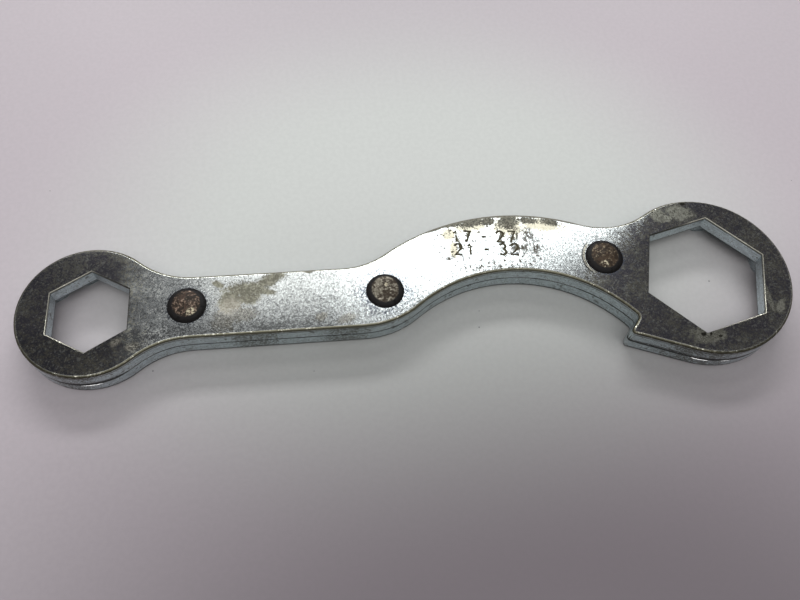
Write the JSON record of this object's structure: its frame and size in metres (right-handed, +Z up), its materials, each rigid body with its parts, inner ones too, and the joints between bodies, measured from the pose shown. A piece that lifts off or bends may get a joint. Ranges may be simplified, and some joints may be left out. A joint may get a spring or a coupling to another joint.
{
  "type": "multi spanner",
  "caption": "Flat steel ring spanner of riveted plates, with hexagon and twelve-point openings at its ends and a bowed handle that ends in a hook tooth.",
  "frame": {"origin": "on the underside, below the middle of the overall length and width", "axes": "+X along the line of the opening centres, from the small opening to the big one; +Z up, square to the plates, out of the face with the rivet heads"},
  "size_m": [0.1778, 0.041, 0.0091],
  "materials": {
    "plate_steel": "satin",
    "rivet_steel": "satin"
  },
  "bodies": {
    "root": {"upper_plate": "plate_steel", "lower_plate": "plate_steel", "rivet_small_end": "rivet_steel", "rivet_middle": "rivet_steel", "rivet_big_end": "rivet_steel"}
  },
  "joints": []
}
